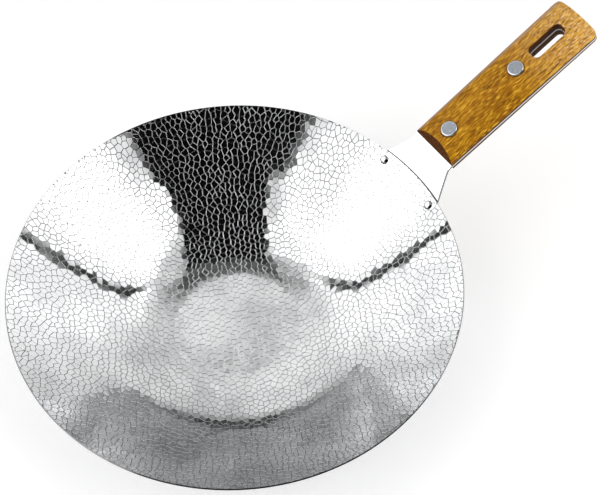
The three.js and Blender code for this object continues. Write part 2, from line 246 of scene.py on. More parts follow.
def grid_part(points, close_rows=False, close_columns=False, flip=False):
    """A grid of points, rows by columns by three, as flat points and the quads between neighbouring lines. A
    closed direction joins its last line to its first."""
    rows, columns, _ = points.shape
    row = np.arange(rows if close_rows else rows - 1)[:, None]
    column = np.arange(columns if close_columns else columns - 1)
    next_row = (row + 1) % rows
    beside = (column + 1) % columns
    corners = ((row, column), (row, beside), (next_row, beside), (next_row, column))
    faces = stacked(*(line * columns + place for line, place in corners)).reshape(-1, 4)
    return points.reshape(-1, 3), faces[:, ::-1] if flip else faces


def fan(ring, tip):
    """Triangles from the sides of a ring of points to one point, all given by their numbers."""
    return stacked(ring, np.roll(ring, -1), np.full(len(ring), tip))


def turned(radius, height, turn):
    """Points by their distance from the Z axis, their height and their turn round the axis."""
    return stacked(radius * np.cos(turn), radius * np.sin(turn), height)


def lathe(radius, height, segments):
    """Rings of points: a profile of radius and height, carried round the Z axis."""
    turn = np.linspace(0, 2 * math.pi, segments, endpoint=False)
    return turned(radius[:, None], height[:, None], turn)


def welded(*parts):
    """Joins parts into one, where points on the same place become one point."""
    starts = np.cumsum([0] + [len(points) for points, faces in parts])
    points = np.concatenate([points for points, faces in parts])
    faces = np.concatenate([faces + start for (_, faces), start in zip(parts, starts)])
    places = np.round(points / WELD).astype(np.int64)
    _, first, same = np.unique(places, axis=0, return_index=True, return_inverse=True)
    return points[first], same.reshape(-1)[faces]


def make_mesh(name, points, *face_groups, kinds=None):
    """A mesh from points and groups of faces, each group with its own number of corners. Kinds say which
    of the piece's materials each face has."""
    mesh = bpy.data.meshes.new(name)
    mesh.from_pydata(points.tolist(), [], sum((faces.tolist() for faces in face_groups), []))
    if kinds is not None:
        mesh.polygons.foreach_set("material_index", kinds.astype(np.int32))
    mesh.validate()
    return mesh


def read_values(items, key, width=1, kind=np.float32):
    """One value or row of values from each item of a mesh."""
    values = np.empty(len(items) * width, dtype=kind)
    items.foreach_get(key, values)
    if kind is np.float32:
        values = values.astype(np.float64)
    return values.reshape(-1, width) if width > 1 else values


def add_object(name, data):
    """A new object in the scene, at the origin."""
    thing = bpy.data.objects.new(name, data)
    bpy.context.scene.collection.objects.link(thing)
    return thing


def add_piece(name, mesh, slot, *materials):
    """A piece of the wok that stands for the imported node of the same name."""
    piece = add_object(name + "_look", mesh)
    for material in materials:
        mesh.materials.append(material)
    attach(piece, "root")
    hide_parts(name)
    return piece


def shade_smooth(mesh, sharp_degrees):
    """Smooth faces, with edges left sharp where faces meet at more than the angle."""
    mesh.polygons.foreach_set("use_smooth", np.ones(len(mesh.polygons), dtype=bool))
    mesh.set_sharp_from_angle(angle=math.radians(sharp_degrees))


def smoothstep(value, low, high):
    """Zero up to the low value, one from the high one, and a soft cubic rise between."""
    share = np.clip((value - low) / (high - low), 0, 1)
    return share * share * (3 - 2 * share)


# Bowl section: the wall's arc touches the knuckle's arc and ends at the rim

knuckle_centre = np.array([FLOOR_RADIUS, BOWL_SHEET + KNUCKLE_RADIUS])
inner_rim = np.array([MOUTH_RADIUS, BOWL_SHEET + BOWL_DEPTH])
to_rim = inner_rim - knuckle_centre
centre_span = WALL_RADIUS - KNUCKLE_RADIUS
turn_to_centre = math.acos(
    (to_rim @ to_rim + centre_span ** 2 - WALL_RADIUS ** 2) / (2 * math.hypot(*to_rim) * centre_span))
centre_angle = math.atan2(to_rim[1], to_rim[0]) + turn_to_centre
wall_centre = knuckle_centre + centre_span * np.array([math.cos(centre_angle), math.sin(centre_angle)])
knuckle_slope = math.atan2(knuckle_centre[0] - wall_centre[0], wall_centre[1] - knuckle_centre[1])
rim_slope = math.atan2(inner_rim[0] - wall_centre[0], wall_centre[1] - inner_rim[1])
knuckle_end = FLOOR_RADIUS + KNUCKLE_RADIUS * knuckle_slope
rim_length = knuckle_end + WALL_RADIUS * (rim_slope - knuckle_slope)


def bowl_section(length, outside):
    """Radius and height by the length of sheet from the bowl's centre: straight over the floor, then the
    knuckle's arc, then the wall's. The point lies as far outside the inner face as is given."""
    knuckle = np.clip((length - FLOOR_RADIUS) / KNUCKLE_RADIUS, 0, knuckle_slope)
    slope = knuckle + np.maximum(length - knuckle_end, 0) / WALL_RADIUS
    on_wall = length > knuckle_end
    middle = np.where(on_wall, wall_centre[0], np.minimum(length, FLOOR_RADIUS))
    level = np.where(on_wall, wall_centre[1], knuckle_centre[1])
    reach = np.where(on_wall, WALL_RADIUS, KNUCKLE_RADIUS) + outside
    return middle + reach * np.sin(slope), level - reach * np.cos(slope)


def pressed(plan, lift):
    """Points of the flat pattern on the bowl's inner face, lifted into the bowl. Pressing stretched the
    sheet up and down only, so each point keeps its place in plan."""
    lengths = np.linspace(0, rim_length + NET_MARGIN, SECTION_SAMPLES)
    radii, _ = bowl_section(lengths, 0)
    radius, turn = polar(plan)
    return turned(*bowl_section(np.interp(radius, radii, lengths), -lift), turn)


def circumcentres(a, b, c):
    """The points as far from a as from b and from c, for whole arrays of triangles."""
    ab = b - a
    ac = c - a
    square_b = (ab * ab).sum(-1)
    square_c = (ac * ac).sum(-1)
    twice = 2 * (ab[..., 0] * ac[..., 1] - ab[..., 1] * ac[..., 0])
    x = (ac[..., 1] * square_b - ab[..., 1] * square_c) / twice
    y = (ab[..., 0] * square_c - ac[..., 0] * square_b) / twice
    return a + stacked(x, y)


def cell_net():
    """Corners of the embossed cells in plan, and the cell and first corner of each side, cell after cell.
    A cell holds the places nearest to its seed, so a corner is equally far from three seeds. The seeds
    are a triangular lattice with each one moved at random."""
    row_pitch = CELL_PITCH * math.sqrt(3) / 2
    half = math.ceil((MOUTH_RADIUS + NET_MARGIN) / row_pitch)
    step = np.arange(-half, half + 1)
    a, b = np.meshgrid(step, step, indexing="ij")
    seeds = stacked(CELL_PITCH * (a + 0.5 * b), row_pitch * b).reshape(-1, 2)
    seeds = seeds[np.hypot(*seeds.T) < MOUTH_RADIUS + NET_MARGIN]
    turn = random.uniform(0, 2 * math.pi, len(seeds))
    away = CELL_JITTER * CELL_PITCH * np.sqrt(random.uniform(0, 1, len(seeds)))
    seeds = seeds + stacked(away * np.cos(turn), away * np.sin(turn))
    in_pitches = [Vector(seed) for seed in seeds / CELL_PITCH]
    net = geometry.delaunay_2d_cdt(in_pitches, [], [], 0, NET_TOLERANCE)
    triangles = np.array(net[2])
    seeds = CELL_PITCH * np.array([tuple(seed) for seed in net[0]])
    corners = circumcentres(*(seeds[triangles[:, side]] for side in range(3)))
    cell = triangles.ravel()
    corner = np.repeat(np.arange(len(triangles)), 3)
    toward = seeds[triangles].mean(axis=1)[corner] - seeds[cell]
    order = np.lexsort((polar(toward)[1], cell))
    order = order[np.hypot(*seeds[cell[order]].T) < MOUTH_RADIUS + CELL_PITCH]
    _, cell = np.unique(cell[order], return_inverse=True)
    used, corner = np.unique(corner[order], return_inverse=True)
    return corners[used], cell, corner


def lengths_of(vectors):
    """The length of each vector, and never quite zero."""
    return np.maximum(np.linalg.norm(vectors, axis=1, keepdims=True), TINY)


def embossed_sheet():
    """The embossed inner face, a little past the rim. Each side of a cell's border is drawn in by half
    the groove's width, so a corner moves by the sum of its sides' inward normals over one plus their
    product. Borders lie at the bottom of the grooves. Each pad is flat and leans a little its own way."""
    corners, cell, corner = cell_net()
    count = np.bincount(cell)
    start = np.cumsum(count) - count
    number = np.arange(len(cell))
    following = np.where(number + 1 == (start + count)[cell], start[cell], number + 1)
    border = corners[corner]
    middle = np.add.reduceat(border, start) / count[:, None]
    side = border[following] - border
    inward = stacked(-side[:, 1], side[:, 0])
    inward /= lengths_of(inward)
    before = np.empty_like(inward)
    before[following] = inward
    bend = np.maximum(1 + (before * inward).sum(-1, keepdims=True), CORNER_LIMIT)
    move = GROOVE_HALF_WIDTH * (before + inward) / bend
    reach = border - middle[cell]
    drawn_in = reach + move * np.minimum(DRAW_LIMIT * lengths_of(reach) / lengths_of(move), 1)
    lean = random.normal(0, CELL_LEAN, (len(count), 2)) / (CELL_PITCH / 2)
    centres = pressed(middle, np.zeros(len(count)))
    facing, _ = inner_face(centres)
    place = pressed(middle[cell] + drawn_in, np.zeros(len(cell)))
    off_plane = ((place - centres[cell]) * facing[cell]).sum(-1) - (drawn_in * lean[cell]).sum(-1)
    pad_corners = place - off_plane[:, None] * facing[cell]
    points = np.concatenate([pressed(corners, -GROOVE_DEPTH), pad_corners, centres])
    pad_point = len(corners) + number
    centre = len(corners) + len(cell) + cell
    pads = stacked(centre, pad_point, pad_point[following])
    slopes = stacked(corner, corner[following], pad_point[following], pad_point)
    kinds = np.repeat([POLISHED, GROOVE], [len(pads), len(slopes)])
    return make_mesh("embossed", points, pads, slopes, kinds=kinds)


def plain_shell(seam):
    """Rim and outside: rings from the seam over the rounded cut edge, down the outer wall and round the
    knuckle to the middle of the base, with a column for each point of the seam."""
    quarter = np.linspace(0, QUARTER, RIM_STEPS + 1)
    inner_round = RIM_ROUND * np.stack([np.sin(quarter), 1 - np.cos(quarter)])
    outer_round = RIM_ROUND * np.stack([np.cos(quarter), np.sin(quarter) - 1])
    outer_round[1] += BOWL_SHEET
    edge = np.concatenate([inner_round, outer_round], axis=1)
    length = np.concatenate([
        rim_length - RIM_ROUND + edge[0],
        after(rim_length - RIM_ROUND, knuckle_end, OUTER_WALL_STEPS),
        after(knuckle_end, FLOOR_RADIUS, OUTER_KNUCKLE_STEPS),
        FLOOR_RADIUS * np.array(BASE_RINGS),
    ])
    outside = np.full(len(length), BOWL_SHEET)
    outside[:edge.shape[1]] = edge[1]
    radius, height = bowl_section(length, outside)
    rings = turned(radius[:, None], height[:, None], polar(seam)[1])
    points, faces = grid_part(np.concatenate([seam[None], rings]), close_columns=True)
    cap = fan(len(points) - len(seam) + np.arange(len(seam)), len(points))
    row = np.arange(len(faces)) // len(seam)
    kinds = np.where(row == 0, POLISHED, np.where(row < edge.shape[1], CUT_EDGE, SPUN))
    kinds = np.concatenate([kinds, np.full(len(cap), SPUN)])
    return make_mesh("plain", np.concatenate([points, [[0, 0, 0]]]), faces, cap, kinds=kinds)


def inner_face(points):
    """The smooth inner face at each point: its normal, into the bowl, and how far outside the point is. Both
    follow from the way to the middle of the knuckle's or the wall's arc."""
    radius, turn = polar(points)
    height = points[:, 2]
    slope = np.maximum(np.arctan2(radius - knuckle_centre[0], knuckle_centre[1] - height), 0)
    outside = np.hypot(radius - knuckle_centre[0], height - knuckle_centre[1]) - KNUCKLE_RADIUS
    outside = np.where(radius < FLOOR_RADIUS, BOWL_SHEET - height, outside)
    on_wall = slope > knuckle_slope
    wall_slope = np.arctan2(radius - wall_centre[0], wall_centre[1] - height)
    wall_outside = np.hypot(radius - wall_centre[0], height - wall_centre[1]) - WALL_RADIUS
    slope = np.where(on_wall, wall_slope, slope)
    normal = turned(-np.sin(slope), np.cos(slope), turn)
    return normal, np.where(on_wall, wall_outside, outside)


def shade_embossed(mesh):
    """Corner normals. On a pad: a mean of the flat face's and the smooth bowl's. In a groove: the bowl's,
    turned by as much as the face leans off the bowl, and not turned at the bottom, so that it is round.
    Plain faces keep their own. A point's depth in the groove, from zero to one, is kept for the
    material."""
    vertex = read_values(mesh.loops, "vertex_index", kind=np.int32)
    face = np.repeat(np.arange(len(mesh.polygons)), read_values(mesh.polygons, "loop_total", kind=np.int32))
    flat = read_values(mesh.polygons, "normal", 3)
    middle_normal, _ = inner_face(read_values(mesh.polygons, "center", 3))
    normal, outside = inner_face(read_values(mesh.vertices, "co", 3))
    bottom = np.clip(outside / GROOVE_DEPTH, 0, 1)
    layer = mesh.attributes.new(GROOVE_LAYER, "FLOAT", "POINT")
    layer.data.foreach_set("value", bottom.astype(np.float32))
    groove = normal[vertex] + (1 - bottom[vertex])[:, None] * (flat - middle_normal)[face]
    pad = PAD_FLATNESS * flat[face] + (1 - PAD_FLATNESS) * normal[vertex]
    own = read_values(mesh.corner_normals, "vector", 3)
    kind = read_values(mesh.polygons, "material_index", kind=np.int32)[face][:, None]
    shaded = np.where(kind == POLISHED, pad, np.where(kind == GROOVE, groove, own))
    mesh.normals_split_custom_set((shaded / lengths_of(shaded)).tolist())


def make_bowl(*steels):
    """The embossed face, cut level just under the rim, and the plain rim and outside sewn to that cut."""
    level = inner_rim[1] - PLAIN_RIM * math.sin(rim_slope)
    sheet = embossed_sheet()
    bowl = bmesh.new()
    bowl.from_mesh(sheet)
    everything = bowl.verts[:] + bowl.edges[:] + bowl.faces[:]
    bmesh.ops.bisect_plane(
        bowl, geom=everything, dist=WELD, plane_co=(0, 0, level), plane_no=(0, 0, 1), clear_outer=True)
    bowl.to_mesh(sheet)
    points = read_values(sheet.vertices, "co", 3)
    seam = points[np.abs(points[:, 2] - level) < 10 * WELD]
    seam = seam[np.argsort(polar(seam)[1])]
    bowl.from_mesh(plain_shell(seam))
    bmesh.ops.remove_doubles(bowl, verts=bowl.verts[:], dist=WELD)
    bowl.to_mesh(sheet)
    bowl.free()
    shade_smooth(sheet, sharp_degrees=12)
    shade_embossed(sheet)
    add_piece("bowl", sheet, "bowl_steel", *steels)


# Bracket: its upper face by the length along it, zero at the rim and negative down the wall

def along(slope):
    """One unit up a slope, as radius and height."""
    return np.array([math.cos(slope), math.sin(slope)])


def below(slope):
    """One unit straight out of a slope's underside, as radius and height."""
    return np.array([math.sin(slope), -math.cos(slope)])


seat_radius = WALL_RADIUS + BOWL_SHEET + SEAT_GAP
neck_slope = rim_slope + NECK_LIFT
rim_bend_radius = RIM_BEND_LENGTH / NECK_LIFT
bend_radius = BEND_INNER_RADIUS + BRACKET_SHEET
bend_end = NECK_LENGTH + bend_radius * (neck_slope - HANDLE_RISE)
rim_seat = wall_centre + seat_radius * below(rim_slope)
rim_bend_centre = rim_seat - rim_bend_radius * below(rim_slope)
rim_bend_to = rim_bend_centre + rim_bend_radius * below(neck_slope)
bend_from = rim_bend_to + (NECK_LENGTH - RIM_BEND_LENGTH) * along(neck_slope)
bend_centre = bend_from + bend_radius * below(neck_slope)
bend_to = bend_centre - bend_radius * below(HANDLE_RISE)
handle_front = bend_to + TANG_LEAD * along(HANDLE_RISE)


def bracket_side(length):
    """Radius, height and slope of the upper face: the wall's arc to the rim, a small bend up, a straight
    neck, a bend down to the handle's rise, and straight on."""
    lift = np.clip(length, 0, RIM_BEND_LENGTH) / rim_bend_radius
    bend = np.clip(length - NECK_LENGTH, 0, bend_end - NECK_LENGTH) / bend_radius
    slope = rim_slope + np.minimum(length, 0) / seat_radius + lift - bend
    lead = np.maximum(length - bend_end, 0)
    outward = stacked(np.sin(slope), -np.cos(slope))
    foot = wall_centre + seat_radius * outward
    rim_bend = rim_bend_centre + rim_bend_radius * outward
    neck = rim_bend_to + (length - RIM_BEND_LENGTH)[..., None] * along(neck_slope)
    tang = bend_centre + lead[..., None] * along(HANDLE_RISE) - bend_radius * outward
    parts = [length[..., None] <= end for end in (0, RIM_BEND_LENGTH, NECK_LENGTH)]
    side = np.select(parts, [foot, rim_bend, neck], tang)
    return side[..., 0], side[..., 1], slope


def corner_draw(radius, from_end):
    """How far a rounded corner draws an edge in, at a distance from the end, by the corner's circle."""
    inside = np.maximum(radius - from_end, 0)
    return radius - np.sqrt(np.maximum(radius ** 2 - inside ** 2, 0))


def grip_half_width(from_front):
    """Half the grip's width, which grows evenly from its front end."""
    return (GRIP_FRONT_WIDTH + GRIP_FLARE * from_front / GRIP_LENGTH) / 2


def bracket_half_width(length):
    """As the grip at its front, flared by a power of the way back over the neck to the foot's width, and
    drawn in at the foot's corners."""
    front = GRIP_FRONT_WIDTH / 2
    flare = (NECK_RIM_WIDTH / 2 - front) * np.maximum(1 - length / NECK_LENGTH, 0) ** NECK_CONCAVITY
    foot = np.minimum(front + flare, FOOT_WIDTH / 2)
    return foot - corner_draw(FOOT_CORNER, length + FOOT_LENGTH)


def bracket_points(length, share, depth):
    """Foot and neck, a share of the half width to the side. The foot is bent round the bowl, and past the
    rim that curve fades out until the tang is flat."""
    side, level, slope = bracket_side(length)
    radius = side + depth * np.sin(slope)
    y = share * bracket_half_width(length)
    bent = 1 - smoothstep(length, 0, NECK_LENGTH)
    x = radius - bent * (radius - np.sqrt(radius ** 2 - y ** 2))
    return stacked(x, y, level - depth * np.cos(slope))


def handle_points(plan, height):
    """Points of the grip's plan, x along it from its front end, at a height over the tang's upper face."""
    x = handle_front[0] + plan[..., 0] * math.cos(HANDLE_RISE) - height * math.sin(HANDLE_RISE)
    z = handle_front[1] + plan[..., 0] * math.sin(HANDLE_RISE) + height * math.cos(HANDLE_RISE)
    return stacked(x, plan[..., 1], z)


def grip_outline(side_steps, end_steps, front_steps):
    """The grip from above: along one side, round the far corner, across the end, back along the other
    side and across the front. Returns the points and how many lie before the front."""
    straight = np.linspace(0, GRIP_LENGTH - GRIP_CORNER, side_steps + 1)
    corner = GRIP_CORNER * np.sin(after(0, QUARTER, GRIP_CORNER_STEPS))
    x = np.concatenate([straight, straight[-1] + corner])
    half = grip_half_width(x) - corner_draw(GRIP_CORNER, GRIP_LENGTH - x)
    end = after(-half[-1], half[-1], end_steps)[:-1]
    front = after(half[0], -half[0], front_steps)[:-1]
    outline = np.concatenate([
        stacked(x, -half),
        stacked(np.full(len(end), GRIP_LENGTH), end),
        stacked(x, half)[::-1],
        stacked(np.zeros(len(front)), front),
    ])
    return outline, 2 * len(x) + len(end)


slot_end = GRIP_LENGTH - SLOT_TO_END
slot_start = slot_end - SLOT_LENGTH


def slot_points(outline, grow):
    """For each point of the outline the nearest one on the slot's outline, grown by a margin. The slot is
    a core rectangle with its corner radius round it."""
    low = np.array([slot_start + SLOT_CORNER, SLOT_CORNER - SLOT_WIDTH / 2])
    high = np.array([slot_end - SLOT_CORNER, SLOT_WIDTH / 2 - SLOT_CORNER])
    core = np.clip(outline, low, high)
    out = outline - core
    return core + out / np.linalg.norm(out, axis=-1, keepdims=True) * (SLOT_CORNER + grow)


def make_bracket(*steels):
    """An upper and a lower grid for foot and neck with walls between, sewn to the flat tang, which is a
    ring of quads between the grip's outline and the slot. The edges of foot, neck and slot are sheared
    metal."""
    shares = np.linspace(-1, 1, BRACKET_STEPS_ACROSS + 1)
    foot_corner = FOOT_CORNER * (1 - np.cos(np.linspace(0, QUARTER, FOOT_CORNER_STEPS + 1)))
    lengths = np.concatenate([
        foot_corner - FOOT_LENGTH,
        after(FOOT_CORNER - FOOT_LENGTH, 0, steps=4),
        after(0, RIM_BEND_LENGTH, steps=6),
        after(RIM_BEND_LENGTH, NECK_LENGTH, steps=12),
        after(NECK_LENGTH, bend_end, steps=12),
        [bend_end + TANG_LEAD],
    ])[:, None]
    top = bracket_points(lengths, shares, 0.0)
    bottom = bracket_points(lengths, shares, BRACKET_SHEET)
    outline, sides = grip_outline(
        side_steps=24, end_steps=BRACKET_STEPS_ACROSS, front_steps=BRACKET_STEPS_ACROSS)
    slot = slot_points(outline, 0.0)
    tang = [handle_points(plan, height) for height in (0.0, -BRACKET_SHEET) for plan in (outline, slot)]
    top_outline, top_slot, bottom_outline, bottom_slot = tang

    def band(first, second, **closing):
        """A strip of quads between two lines of points."""
        return grid_part(np.stack([first, second]), **closing)

    faces = [
        grid_part(top, flip=True),
        grid_part(bottom),
        band(top_outline, top_slot, close_columns=True),
        band(bottom_slot, bottom_outline, close_columns=True),
        band(bottom_outline[:sides], top_outline[:sides]),
    ]
    sheared = [
        band(top[:, 0], bottom[:, 0], flip=True),
        band(top[:, -1], bottom[:, -1]),
        band(top[0], bottom[0]),
        band(top_slot, bottom_slot, close_columns=True),
    ]
    kinds = np.repeat([0, 1], [sum(len(quads) for _, quads in parts) for parts in (faces, sheared)])
    mesh = make_mesh("bracket", *welded(*faces, *sheared), kinds=kinds)
    shade_smooth(mesh, sharp_degrees=40)
    piece = add_piece("handle_bracket", mesh, "bracket_steel", *steels)
    bevel = piece.modifiers.new("rounded edges", "BEVEL")
    bevel.width = BRACKET_EDGE_ROUND
    bevel.segments = 2
    bevel.limit_method = "ANGLE"
    bevel.angle_limit = math.radians(50)


# Scales

def arch(y):
    """Height of a scale's arched back over its flat underside, across the grip: an arc of a circle."""
    half = (GRIP_FRONT_WIDTH + GRIP_FLARE) / 2
    rise = SCALE_CROWN - SCALE_EDGE
    radius = (half ** 2 + rise ** 2) / (2 * rise)
    return SCALE_CROWN - radius + np.sqrt(radius ** 2 - y ** 2)


def bevel_reach(y):
    """How far back the front bevel meets the arched back: the setback, by the arch's share of its rise."""
    return FRONT_SETBACK * (arch(y) - SCALE_EDGE) / (SCALE_CROWN - SCALE_EDGE)


def scale_surface():
    """Plan and height of a scale as rings round the slot: up the outer side, over its rounded edge or the
    front bevel, across the arched back, over the slot's rounded rim and down its wall. The flat underside
    joins the last ring to the first. The third array marks the faces that get the dark wood, which is partly
    painted shade: outer side, front bevel and slot wall."""
    outline, sides = grip_outline(side_steps=110, end_steps=36, front_steps=44)
    front = np.arange(len(outline)) >= sides
    inner_half = grip_half_width(outline[:, 0]) - EDGE_ROUND
    y = np.clip(outline[:, 1], -inner_half, inner_half)
    x = np.clip(outline[:, 0], bevel_reach(y), GRIP_LENGTH - EDGE_ROUND)
    shoulder = stacked(x, y)
    round_slot = slot_points(outline, SLOT_ROUND)
    slot = slot_points(outline, 0.0)
    shoulder_height = arch(y)
    slot_height = arch(round_slot[:, 1])
    lip = np.minimum(np.where(front, SCALE_EDGE, shoulder_height - EDGE_ROUND), shoulder_height)
    level = np.zeros(len(outline))
    turns = after(0, QUARTER, EDGE_STEPS)

    rings = [(outline, level), (outline, lip)]
    for turn in turns:
        inward = np.where(front, turn / QUARTER, 1 - math.cos(turn))
        upward = np.where(front, turn / QUARTER, math.sin(turn))
        plan = outline + (shoulder - outline) * inward[:, None]
        rings.append((plan, lip + (shoulder_height - lip) * upward))
    for share in after(0, 1, BACK_STEPS):
        plan = shoulder + (round_slot - shoulder) * share
        rings.append((plan, arch(plan[:, 1])))
    for turn in turns:
        plan = round_slot + (slot - round_slot) * math.sin(turn)
        rings.append((plan, slot_height - SLOT_ROUND * (1 - math.cos(turn))))
    rings.append((slot, level))
    plans, heights = (np.stack(values) for values in zip(*rings))
    row, column = np.divmod(np.arange(heights.size), len(outline))
    # these faces get the dark wood, which is partly painted shade
    edge = (row == 0) | (row < EDGE_STEPS + 1) & (column >= sides - 1)
    last = len(rings) - 1
    slot_wall = (row >= last - SAWN_AND_SHADED_SLOT_ROWS) & (row < last)
    return plans, heights, (edge | slot_wall).astype(int)


def make_scales(*woods):
    """The upper scale on the tang, and its twin turned over under it."""
    plans, heights, sawn_and_shaded = scale_surface()
    upper = handle_points(plans, heights + SCALE_SEAT)
    lower = handle_points(plans * [1, -1], -BRACKET_SHEET - SCALE_SEAT - heights)
    for name, points in (("upper_scale", upper), ("lower_scale", lower)):
        mesh = make_mesh(name, *grid_part(points, close_rows=True, close_columns=True), kinds=sawn_and_shaded)
        shade_smooth(mesh, sharp_degrees=38)
        add_piece(name, mesh, "grip_wood", *woods)


# Rivets

handle_rivets = {"front_handle_rivet": FRONT_RIVET_AT, "rear_handle_rivet": slot_start - REAR_RIVET_TO_SLOT}


def rivet_mesh(name, rings, matrix, bevel_rows=()):
    """Rings closed by a point in the middle of the first and of the last, put in place. Bevel rows get
    the second material."""
    points, faces = grid_part(rings, close_columns=True)
    first = np.arange(rings.shape[1])
    last = len(points) - rings.shape[1] + first
    caps = np.concatenate([fan(first[::-1], len(points)), fan(last, len(points) + 1)])
    points = np.concatenate([points, [rings[0].mean(axis=0), rings[-1].mean(axis=0)]])
    points = points @ np.array(matrix.to_3x3()).T + np.array(matrix.translation)
    row = np.arange(len(faces)) // rings.shape[1]
    kinds = np.concatenate([np.isin(row, bevel_rows), np.zeros(len(caps))])
    mesh = make_mesh(name, points, faces, caps, kinds=kinds)
    shade_smooth(mesh, sharp_degrees=50)
    return mesh


def handle_rivet_rings(peened):
    """A flat bevelled head over each scale and the shank between, from the middle of the lower head to
    that of the upper one. Peening leaves shallow dents on the flats: the deepest of many bell curves at
    random places."""
    head = HANDLE_RIVET_HEAD / 2
    flat = head - HANDLE_HEAD_BEVEL
    under = SCALE_CROWN + 2 * SEAT_GAP - HANDLE_HEAD_SINK
    top = under + HANDLE_HEAD_THICKNESS
    bevel = np.linspace(0, QUARTER, HEAD_BEVEL_STEPS + 1)
    inward = after(flat, 0, HEAD_FLAT_STEPS)[:-1]
    radius = np.concatenate([[head], flat + HANDLE_HEAD_BEVEL * np.cos(bevel), inward])
    rounded = top + HANDLE_HEAD_BEVEL * (np.sin(bevel) - 1)
    height = np.concatenate([[under], rounded, np.full(len(inward), top)])
    radius = np.concatenate([radius[::-1], radius])
    height = np.concatenate([-BRACKET_SHEET - height[::-1], height])
    rings = lathe(radius, height, HANDLE_RIVET_SEGMENTS)
    if peened:
        across, _ = polar(rings)
        dents = np.zeros(across.shape)
        for _ in range(PEEN_COUNT):
            place = random.uniform(-flat, flat, 2)
            size = random.uniform(*PEEN_SIZES)
            away, _ = polar(rings[..., :2] - place)
            dents = np.maximum(dents, random.uniform(*PEEN_BLOWS) * np.exp(-(away / size) ** 2))
        dents = dents * smoothstep(-across, -flat, -PEENED_SHARE * flat)
        rings[..., 2] -= np.sign(rings[..., 2]) * PEEN_DEPTH * dents
    return rings


def make_handle_rivets(*aluminium):
    """A rivet square to the grip at each place along it. The first is peened. The rows of faces on the upper
    bevel follow those on the lower one after the row of the shank."""
    lower_bevel = np.arange(HEAD_FLAT_STEPS - 1, HEAD_FLAT_STEPS + HEAD_BEVEL_STEPS)
    bevel_rows = np.concatenate([lower_bevel, lower_bevel + HEAD_BEVEL_STEPS + 2])
    for name, at in handle_rivets.items():
        place = Matrix.Rotation(-HANDLE_RISE, 4, "Y")
        place.translation = handle_points(np.array([at, 0.0]), 0.0)
        rings = handle_rivet_rings(peened=name == "front_handle_rivet")
        add_piece(name, rivet_mesh(name, rings, place, bevel_rows), "rivet_aluminium", *aluminium)


seat_at, seat_height = (
    float(value) for value in bowl_section(np.array(rim_length - BOWL_RIVET_BELOW_RIM), 0.0))


def make_bowl_rivets(domed_steel):
    """A domed head inside the bowl, the shank through wall and foot, and a low set head under the foot."""
    head = BOWL_RIVET_HEAD / 2
    shank = BOWL_RIVET_SHANK / 2
    tail = -(BOWL_SHEET + BRACKET_SHEET + 2 * SEAT_GAP)
    turn = np.linspace(0, QUARTER, RIVET_DOME_STEPS + 1)[:-1]
    set_radius = [0.3 * shank, 0.6 * shank, shank, (shank + head) / 2, head, head, shank, shank]
    set_height = tail - BOWL_RIVET_TAIL * np.array([1, 1, 0.9, 0.55, 0.1, 0, 0])
    radius = np.concatenate([set_radius, head * np.cos(turn)])
    height = np.concatenate([set_height, [0], BOWL_RIVET_DOME * np.sin(turn)])
    slope = rim_slope - BOWL_RIVET_BELOW_RIM / WALL_RADIUS
    aside = math.asin(BOWL_RIVET_OFFSET / seat_at)
    seat = Matrix.Translation((seat_at, 0, seat_height)) @ Matrix.Rotation(-slope, 4, "Y")
    for name, side in (("left_bowl_rivet", 1), ("right_bowl_rivet", -1)):
        place = Matrix.Rotation(side * aside, 4, "Z") @ seat
        mesh = rivet_mesh(name, lathe(radius, height, BOWL_RIVET_SEGMENTS), place)
        add_piece(name, mesh, "rivet_steel", domed_steel)


# Materials

class Nodes:
    """Builds the node tree of a material or of the world."""

    def __init__(self, tree):
        self.tree = tree

    def give(self, socket, value):
        """Links an input to a socket, or sets it to a value."""
        if isinstance(value, bpy.types.NodeSocket):
            self.tree.links.new(value, socket)
        else:
            socket.default_value = value

    def add(self, kind, inputs=None, **settings):
        """A node with its settings and inputs."""
        node = self.tree.nodes.new("ShaderNode" + kind)
        for setting, value in settings.items():
            setattr(node, setting, value)
        for socket, value in (inputs or {}).items():
            self.give(node.inputs[socket], value)
        return node

    def place(self, scale=(1, 1, 1), rotation=(0, 0, 0), location=(0, 0, 0)):
        """Object coordinates, turned, scaled and shifted."""
        mapping = self.add("Mapping", {
            "Vector": self.add("TexCoord").outputs["Object"],
            "Scale": scale, "Rotation": rotation, "Location": location})
        return mapping.outputs["Vector"]

    def noise(self, vector, scale, detail=3.0, roughness=0.5):
        """Cloudy noise between zero and one."""
        inputs = {"Vector": vector, "Scale": scale, "Detail": detail, "Roughness": roughness}
        return self.add("TexNoise", inputs).outputs["Fac"]

    def spread(self, value, start, end, to_start, to_end):
        """A value carried from one range to another."""
        inputs = {"Value": value, "From Min": start, "From Max": end, "To Min": to_start, "To Max": to_end}
        return self.add("MapRange", inputs).outputs["Result"]

    def step(self, value, start, full):
        """Zero up to the first value and one from the second, with a soft edge between."""
        inputs = {"Value": value, "From Min": start, "From Max": full}
        return self.add("MapRange", inputs, interpolation_type="SMOOTHSTEP").outputs["Result"]

    def math(self, operation, first, *others):
        """The values combined by one operation, from first to last, or the operation on one value."""
        for other in others or (0.0,):
            first = self.add("Math", {0: first, 1: other}, operation=operation).outputs["Value"]
        return first

    def times(self, *values):
        """The product of the values."""
        return self.math("MULTIPLY", *values)

    def highest(self, *values):
        """The largest of the values."""
        return self.math("MAXIMUM", *values)

    def vector(self, operation, *values, output="Vector"):
        """One operation on vectors."""
        return self.add("VectorMath", dict(enumerate(values)), operation=operation).outputs[output]

    def blend(self, share, first, second):
        """A mean of two numbers, by the share of the second."""
        return self.add("Mix", {0: share, 2: first, 3: second}).outputs[0]

    def mixed(self, share, first, second):
        """A mean of two colours, by the share of the second."""
        first, second = ((*colour, 1) if isinstance(colour, tuple) else colour for colour in (first, second))
        return self.add("Mix", {0: share, 6: first, 7: second}, data_type="RGBA").outputs[2]


